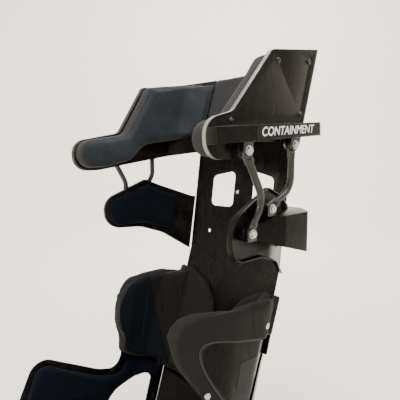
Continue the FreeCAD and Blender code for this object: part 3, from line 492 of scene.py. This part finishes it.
def copied(base, place, turn, scale):
    """A copy of a small piece with its own mesh, placed and turned."""
    obj = base.copy()
    obj.data = base.data.copy()
    bpy.context.scene.collection.objects.link(obj)
    turn = turn.to_matrix().to_4x4()
    obj.matrix_world = Matrix.Translation(place) @ turn @ Matrix.Diagonal((*scale, 1))
    return obj


def weld(name, runs, radius, pitch=2.3):
    """Overlapping drops of weld along (start, end) runs in millimetres."""
    bpy.ops.mesh.primitive_ico_sphere_add(subdivisions=2, radius=1.0)
    base = bpy.context.object
    bpy.ops.object.shade_smooth()
    drops = []
    for start, end in runs:
        run = Vector(end) - Vector(start)
        count = max(2, round(run.length / pitch))
        turn = run.to_track_quat("X", "Z")
        for i in range(count):
            place = Vector(start) + run * ((i + 0.5) / count)
            swell_by = 1.0 + 0.12 * math.sin(i * 2.4) + 0.06 * math.sin(i * 0.7)
            size = radius * swell_by / 1000
            drops.append(copied(base, spot(*place), turn, (size * 0.95, size, size * 0.9)))
    bpy.data.objects.remove(base)
    joined(name, drops, WELD)


def sew(obj, lines, side, depth=0.0016, reach=0.0034):
    """Sinks sewn channels along (y, z) lines into the face that the driver sees."""
    vertices = obj.data.vertices
    normals = [vertex.normal.copy() for vertex in vertices]
    for vertex, normal in zip(vertices, normals):
        if normal.x * side > -0.35:
            continue
        y = vertex.co.y * 1000 - SET_BACK
        z = vertex.co.z * 1000 - WAIST_HIGH
        near = min(line_distance(points, y, z) for points in lines) / 1000
        if near < reach * 3:
            vertex.co -= normal * (depth * math.exp(-((near / reach) ** 2)))


def line_distance(points, y, z):
    """How far (y, z) is from a line of straight runs."""
    best = 1e9
    for (y0, z0), (y1, z1) in zip(points, points[1:]):
        run = (y1 - y0) ** 2 + (z1 - z0) ** 2
        share = max(0.0, min(1.0, ((y - y0) * (y1 - y0) + (z - z0) * (z1 - z0)) / run))
        best = min(best, math.hypot(y - y0 - (y1 - y0) * share, z - z0 - (z1 - z0) * share))
    return best


def stitches(name, target, lines, side, pitch=4.2):
    """Rows of thread laid along (y, z) lines on the face that the driver sees."""
    bpy.ops.mesh.primitive_uv_sphere_add(segments=8, ring_count=5, radius=1.0)
    base = bpy.context.object
    bpy.ops.object.shade_smooth()
    laid = []
    for points in lines:
        spots = along(points, pitch)
        found = [in_side(target, side, y, z) for y, z in spots]
        for here, there in zip(found, found[1:]):
            if not here or not there:
                continue
            run = there[0] - here[0]
            if run.length > LONGEST_STITCH:
                continue
            turn = run.to_track_quat("X", "Z")
            middle = here[0] + run * 0.5 + here[1] * 0.0002
            laid.append(copied(base, middle, turn, (run.length * 0.38, 0.00055, 0.00055)))
    bpy.data.objects.remove(base)
    joined(name, laid, THREAD)


def film_on(name, target, corners, side):
    """A thin film that follows a piece's outer face between four (y, z) corners."""
    bpy.ops.mesh.primitive_grid_add(x_subdivisions=10, y_subdivisions=10, size=2)
    obj = bpy.context.object
    for vertex in obj.data.vertices:
        a = (vertex.co.x + 1) / 2
        b = (vertex.co.y + 1) / 2
        low = [corners[0][i] * (1 - a) + corners[1][i] * a for i in (0, 1)]
        high = [corners[3][i] * (1 - a) + corners[2][i] * a for i in (0, 1)]
        y, z = [low[i] * (1 - b) + high[i] * b for i in (0, 1)]
        place, normal = on_side(target, side, y, z)
        vertex.co = place + normal * FILM_THICK
    only(obj)
    bpy.ops.object.mode_set(mode="EDIT")
    bpy.ops.mesh.select_all(action="SELECT")
    bpy.ops.mesh.normals_make_consistent(inside=False)
    bpy.ops.object.mode_set(mode="OBJECT")
    if sum(polygon.normal.x for polygon in obj.data.polygons) * side < 0:
        only(obj)
        bpy.ops.object.mode_set(mode="EDIT")
        bpy.ops.mesh.select_all(action="SELECT")
        bpy.ops.mesh.flip_normals()
        bpy.ops.object.mode_set(mode="OBJECT")
    modifier(obj, "SOLIDIFY", thickness=FILM_THICK, offset=1.0)
    modifier(obj, "BEVEL", width=0.0001, segments=1, limit_method="ANGLE")
    only(obj)
    bpy.ops.object.shade_smooth_by_angle(angle=math.radians(40))
    finish_piece(obj, name, FILM)


def swell(obj, pressure, cap):
    """Inflates a closed mesh as cloth, and keeps every point within cap of where it began."""
    only(obj)
    start = [v.co.copy() for v in obj.data.vertices]
    mod = obj.modifiers.new("Cloth", "CLOTH")
    mod.settings.use_pressure = True
    mod.settings.uniform_pressure_force = pressure
    mod.settings.tension_stiffness = 15.0
    mod.settings.compression_stiffness = 15.0
    mod.settings.effector_weights.gravity = 0.0
    mod.point_cache.frame_start = 1
    mod.point_cache.frame_end = CLOTH_STEPS
    for step in range(1, CLOTH_STEPS + 1):
        bpy.context.scene.frame_set(step)
    bpy.ops.object.modifier_apply(modifier="Cloth")
    bpy.context.scene.frame_set(1)
    for vertex, home in zip(obj.data.vertices, start):
        move = vertex.co - home
        if move.length > cap:
            vertex.co = home + move.normalized() * cap


def padded_from(node, material, voxel=0.005, pressure=3.0, cap=0.003):
    """A pad made from its CAD solid: remeshed, drawn in a little, swollen as cloth and smoothed."""
    obj = copy_of_node(node, node + "_fabric")
    modifier(obj, "REMESH", mode="VOXEL", voxel_size=voxel, use_smooth_shade=True)
    modifier(obj, "SMOOTH", factor=0.5, iterations=4)
    modifier(obj, "DISPLACE", strength=-0.0015, mid_level=0.0)
    swell(obj, pressure, cap)
    modifier(obj, "SUBSURF", levels=1, render_levels=1)
    only(obj)
    bpy.ops.object.shade_smooth()
    finish_piece(obj, node + "_fabric", material)
    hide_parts(node)
    return obj


# CAD nodes that stay, with their finishes

for part in frame["record"]["subparts"]:
    obj = NODES[part["node"]]
    obj.data.materials.clear()
    obj.data.materials.append(FINISHES[part["material_slot"]])
    for polygon in obj.data.polygons:
        polygon.material_index = 0


# coated sheet metal, tubes and brackets, with rounded rims

SIDES = (("left", 1), ("right", -1))
SHEETS = ["hip_panel", "shoulder_support", "shoulder_box", "head_side_plate", "rib_support",
          "mount_doubler"]
BRACKETS = ["front_strut_upper_bracket", "front_strut_lower_bracket",
            "rear_strut_upper_bracket", "rear_strut_lower_bracket"]
softened("seat_back_shell", COAT, 0.0009)
softened("seat_pan", COAT, 0.0009)
for side, sign in SIDES:
    for stem in SHEETS:
        softened(f"{stem}_{side}", COAT, 0.0009)
    for stem in BRACKETS:
        softened(f"{stem}_{side}", ROD_COAT, 0.0006)
    softened(f"head_tube_{side}", COAT, 0.0022)
    softened(f"tube_front_cap_{side}", COAT, 0.0012)
    # the rear caps in EDGE: painted highlight where the tube's bent end catches the light
    softened(f"tube_rear_cap_{side}", EDGE, 0.0012)
    for stem in ("front_strut", "rear_strut"):
        softened(f"{stem}_{side}", ROD_COAT, 0.0012)
# left trim in EDGE: painted highlight on the lit strip
softened("head_plate_trim_left", EDGE, 0.0012)
# right trim in the painted-shade black: the shaded copy of the same strip
softened("head_plate_trim_right", PAINTED_SHADE_BLACK, 0.0012)
softened("strut_bolts", STEEL, 0.0006)
softened("head_plate_screws", BLACKENED, 0.0003)


# pads and covers

COVERS = {}
RIB_SEAMS = [
    [(-164, -58), (-176, -140), (-192, -204)],
    [(-118, -52), (-124, -130), (-128, -150)],
    [(-86, -52), (-88, -140)],
]
for side, sign in SIDES:
    padded_from(f"head_pad_{side}", HEAD_FABRIC)
for side, sign in SIDES:
    padded_from(f"shoulder_pad_{side}", SHOULDER_FABRIC, voxel=0.004)
    cover = padded_from(f"rib_cover_{side}", RIB_FABRIC, voxel=0.004)
    sew(cover, RIB_SEAMS, sign)
    COVERS[side] = cover
    padded_from(f"hip_pad_{side}", HIP_FABRIC, voxel=0.004)
padded_from("head_pad_back", HEAD_FABRIC)
padded_from("lower_back_pad", BLACK_FABRIC, voxel=0.004)
padded_from("seat_cushion", BLACK_FABRIC, voxel=0.006, cap=0.006, pressure=5.0)


# small fittings, welds, thread and labels

BOLTS = [(-214, 134), (-163, 171), (-224, 270), (-100, 281)]
SCREWS = {
    "left": [(-124, 428), (-29, 441), (-56, 341), (-243, 317)],
    "right": [(-124, 428), (-29, 441), (-56, 341), (-285, 262)],
}
SNAPS = {"left": [(-115, -73), (-261, -163)], "right": [(-115, -78), (-242, -160)]}
BORDERS = {
    "left": [(-60, -122), (-100, -106), (-228, -68), (-268, -72), (-262, -118), (-226, -186),
             (-217, -214)],
    "right": [(-60, -122), (-100, -110), (-186, -92), (-226, -98), (-224, -134), (-208, -186),
              (-205, -214)],
}


def disc(place, radius, depth, sides):
    """A washer, nut or socket across the seat, with eased rims."""
    bpy.ops.mesh.primitive_cylinder_add(vertices=sides, radius=radius, depth=depth)
    obj = bpy.context.object
    obj.matrix_world = Matrix.Translation(place) @ Matrix.Rotation(math.pi / 2, 4, "Y")
    modifier(obj, "BEVEL", width=0.0003, segments=2, limit_method="ANGLE")
    only(obj)
    bpy.ops.object.shade_smooth_by_angle(angle=math.radians(40))
    return obj


def rounded_line(points):
    """A line of straight runs with its corners cut off, twice over."""
    for step in range(2):
        cut = [points[0]]
        for (y0, z0), (y1, z1) in zip(points, points[1:]):
            cut.append((y0 * 0.75 + y1 * 0.25, z0 * 0.75 + z1 * 0.25))
            cut.append((y0 * 0.25 + y1 * 0.75, z0 * 0.25 + z1 * 0.75))
        points = [*cut, points[-1]]
    return points


def tube_levels(side, sign, y):
    """The heights of a head tube's lower and upper faces at y, in millimetres."""
    tube = ROUNDED[f"head_tube_{side}"]
    low = on_face(tube, spot(sign * 230, y, 0), (0, 0, 1))
    high = on_face(tube, spot(sign * 230, y, 600), (0, 0, -1))
    return low[0].z * 1000 - WAIST_HIGH, high[0].z * 1000 - WAIST_HIGH


bpy.context.view_layer.update()
for side, sign in SIDES:
    washers = [disc(spot(sign * 238.9, y, z), 0.0079, 0.0014, 28) for y, z in BOLTS]
    joined(f"bolt_washers_{side}", washers, STEEL)
    nuts = [disc(spot(sign * 220.8, y, z), 0.0066, 0.0046, 6) for y, z in BOLTS[2:]]
    joined(f"bolt_nuts_{side}", nuts, STEEL)
    # the sockets are flat discs in the painted-shade black: painted shade standing in for the hex
    # recesses
    sockets = [disc(spot(sign * 221.1, y, z), 0.0021, 0.0007, 6) for y, z in SCREWS[side]]
    joined(f"screw_sockets_{side}", sockets, PAINTED_SHADE_BLACK)

    stops = [(sign * 218.6, y, tube_levels(side, sign, y)[1]) for y in (-280, -210, -140, -66)]
    weld(f"tube_weld_{side}", list(zip(stops, stops[1:])), radius=1.7)
    ears = []
    for y in (-224, -100):
        ears.append([(sign * 238.4, at, tube_levels(side, sign, at)[0]) for at in (y - 9, y + 9)])
    weld(f"bracket_weld_{side}", ears, radius=1.5)

    ends = [tube_levels(side, sign, y) for y in (-211, -30)]
    corners = [(-211, ends[0][0] + 2.6), (-30, ends[1][0] + 2.6), (-30, ends[1][1] - 2.6),
               (-211, ends[0][1] - 2.6)]
    film_on(f"tube_label_{side}", ROUNDED[f"head_tube_{side}"], corners, sign)
    bpy.ops.object.text_add()
    words = bpy.context.object
    words.data.body = "CONTAINMENT"
    words.data.size = 0.0205
    words.data.shear = 0.25
    words.data.extrude = 0.0001
    words.data.offset = 0.0003
    words.data.align_x = "CENTER"
    words.data.align_y = "CENTER"
    tilt = math.atan2(ends[1][0] - ends[0][0], 181)
    reading = Matrix(((0, 0, sign), (sign, 0, 0), (0, 1, 0))).to_4x4()
    words.matrix_world = (
        Matrix.Translation(spot(sign * 244.2, -126, (corners[0][1] + corners[2][1]) / 2))
        @ Matrix.Rotation(tilt, 4, "X") @ reading
    )
    only(words)
    bpy.ops.object.convert(target="MESH")
    finish_piece(bpy.context.object, f"tube_lettering_{side}", INK)

    cover = COVERS[side]
    rings = []
    for y, z in SNAPS[side]:
        found = on_side(NODES["rib_cover_snaps"], sign, y, z)
        bpy.ops.mesh.primitive_torus_add(major_radius=0.0056, minor_radius=0.0009,
                                         major_segments=32, minor_segments=8)
        ring = bpy.context.object
        turn = found[1].to_track_quat("Z", "Y").to_matrix().to_4x4()
        ring.matrix_world = Matrix.Translation(found[0] - found[1] * 0.0026) @ turn
        bpy.ops.object.shade_smooth()
        rings.append(ring)
    joined(f"snap_rings_{side}", rings, STEEL)
    middle = (-160, -140)
    edge = []
    for y, z in rounded_line(BORDERS[side]):
        away = Vector((y - middle[0], z - middle[1])).normalized() * 4.0
        found = on_side(cover, sign, y + away.x, z + away.y)
        if found and abs(found[1].x) > 0.3:
            edge.append(found[0] + found[1] * 0.0004)
    line_piece(f"cover_binding_{side}", edge, 0.0017, THREAD)
    stitches(f"seam_thread_{side}", cover, RIB_SEAMS, sign)
    panel = [(-200, -172), (-112, -166), (-104, -130), (-190, -122)]
    film_on(f"rib_label_{side}", ROUNDED[f"rib_support_{side}"], panel, sign)


# the studio: a pale floor that curves up into a wall all round


def make_studio():
    profile = [(0.0, 0.0), (3.0, 0.0), (3.6, 0.06), (4.1, 0.35), (4.45, 0.85), (4.6, 1.5),
               (4.6, 3.6)]
    bpy.ops.mesh.primitive_circle_add(vertices=96, radius=3.0, fill_type="NGON")
    floor = bpy.context.object
    bpy.ops.object.mode_set(mode="EDIT")
    bpy.ops.mesh.select_mode(type="EDGE")
    bpy.ops.mesh.select_all(action="SELECT")
    bpy.ops.mesh.region_to_loop()
    for (r0, z0), (r1, z1) in zip(profile[1:], profile[2:]):
        bpy.ops.mesh.extrude_edges_move(TRANSFORM_OT_translate={"value": (0, 0, z1 - z0)})
        grow = r1 / r0
        bpy.ops.transform.resize(value=(grow, grow, 1.0), center_override=(0, 0, z1))
    bpy.ops.object.mode_set(mode="OBJECT")
    bpy.ops.object.shade_smooth()
    paint = Finish("studio_floor", Roughness=0.9)
    cloud = paint.noise(0.6, 3.0, 0.5)
    paint.paint(Base_Color=paint.mix(cloud, (0.85, 0.82, 0.76, 1), (0.88, 0.855, 0.80, 1)))
    floor.data.materials.append(paint.material)
    floor.name = "studio_floor"


def area_light(name, place, target, size, power, colour):
    data = bpy.data.lights.new(name, "AREA")
    data.shape = "RECTANGLE"
    data.size = size
    data.size_y = size
    data.energy = power
    data.color = colour
    obj = bpy.data.objects.new(name, data)
    obj.location = place
    obj.rotation_euler = (Vector(target) - Vector(place)).to_track_quat("-Z", "Y").to_euler()
    bpy.context.scene.collection.objects.link(obj)


def make_camera():
    """The photograph's view, from a fit to the picture's own edges."""
    yaw = math.radians(49.373)
    pitch = math.radians(-6.522)
    roll = math.radians(-0.638)
    right = Vector((math.cos(yaw), math.sin(yaw), 0))
    ahead = Vector((-math.sin(yaw) * math.cos(pitch), math.cos(yaw) * math.cos(pitch),
                    math.sin(pitch)))
    up = right.cross(ahead)
    side = right * math.cos(roll) + up * math.sin(roll)
    top = up * math.cos(roll) - right * math.sin(roll)
    turn = Matrix((side, top, -ahead)).transposed()
    data = bpy.data.cameras.new("camera")
    data.sensor_width = 36.0
    data.lens = 36.0 * 356.947 / 400
    data.clip_start = 0.02
    camera = bpy.data.objects.new("camera", data)
    camera.matrix_world = Matrix.Translation((0.61953, -0.43451, 0.72711)) @ turn.to_4x4()
    bpy.context.scene.collection.objects.link(camera)
    bpy.context.scene.camera = camera


make_studio()
make_camera()
area_light("key", (-0.6, -3.2, 3.0), (0, 0, 0.6), 1.6, 60, (1.0, 0.97, 0.93))
area_light("top", (0.3, 0.5, 3.4), (0, 0, 0.5), 2.4, 130, (1.0, 0.98, 0.95))
area_light("wall", (-1.2, 1.6, 3.3), (-2.6, 2.6, 1.6), 1.6, 160, (1.0, 0.97, 0.92))
world = bpy.context.scene.world or bpy.data.worlds.new("world")
bpy.context.scene.world = world
world.use_nodes = True
world.node_tree.nodes["Background"].inputs["Color"].default_value = (0.98, 0.92, 0.85, 1)
world.node_tree.nodes["Background"].inputs["Strength"].default_value = 1.5
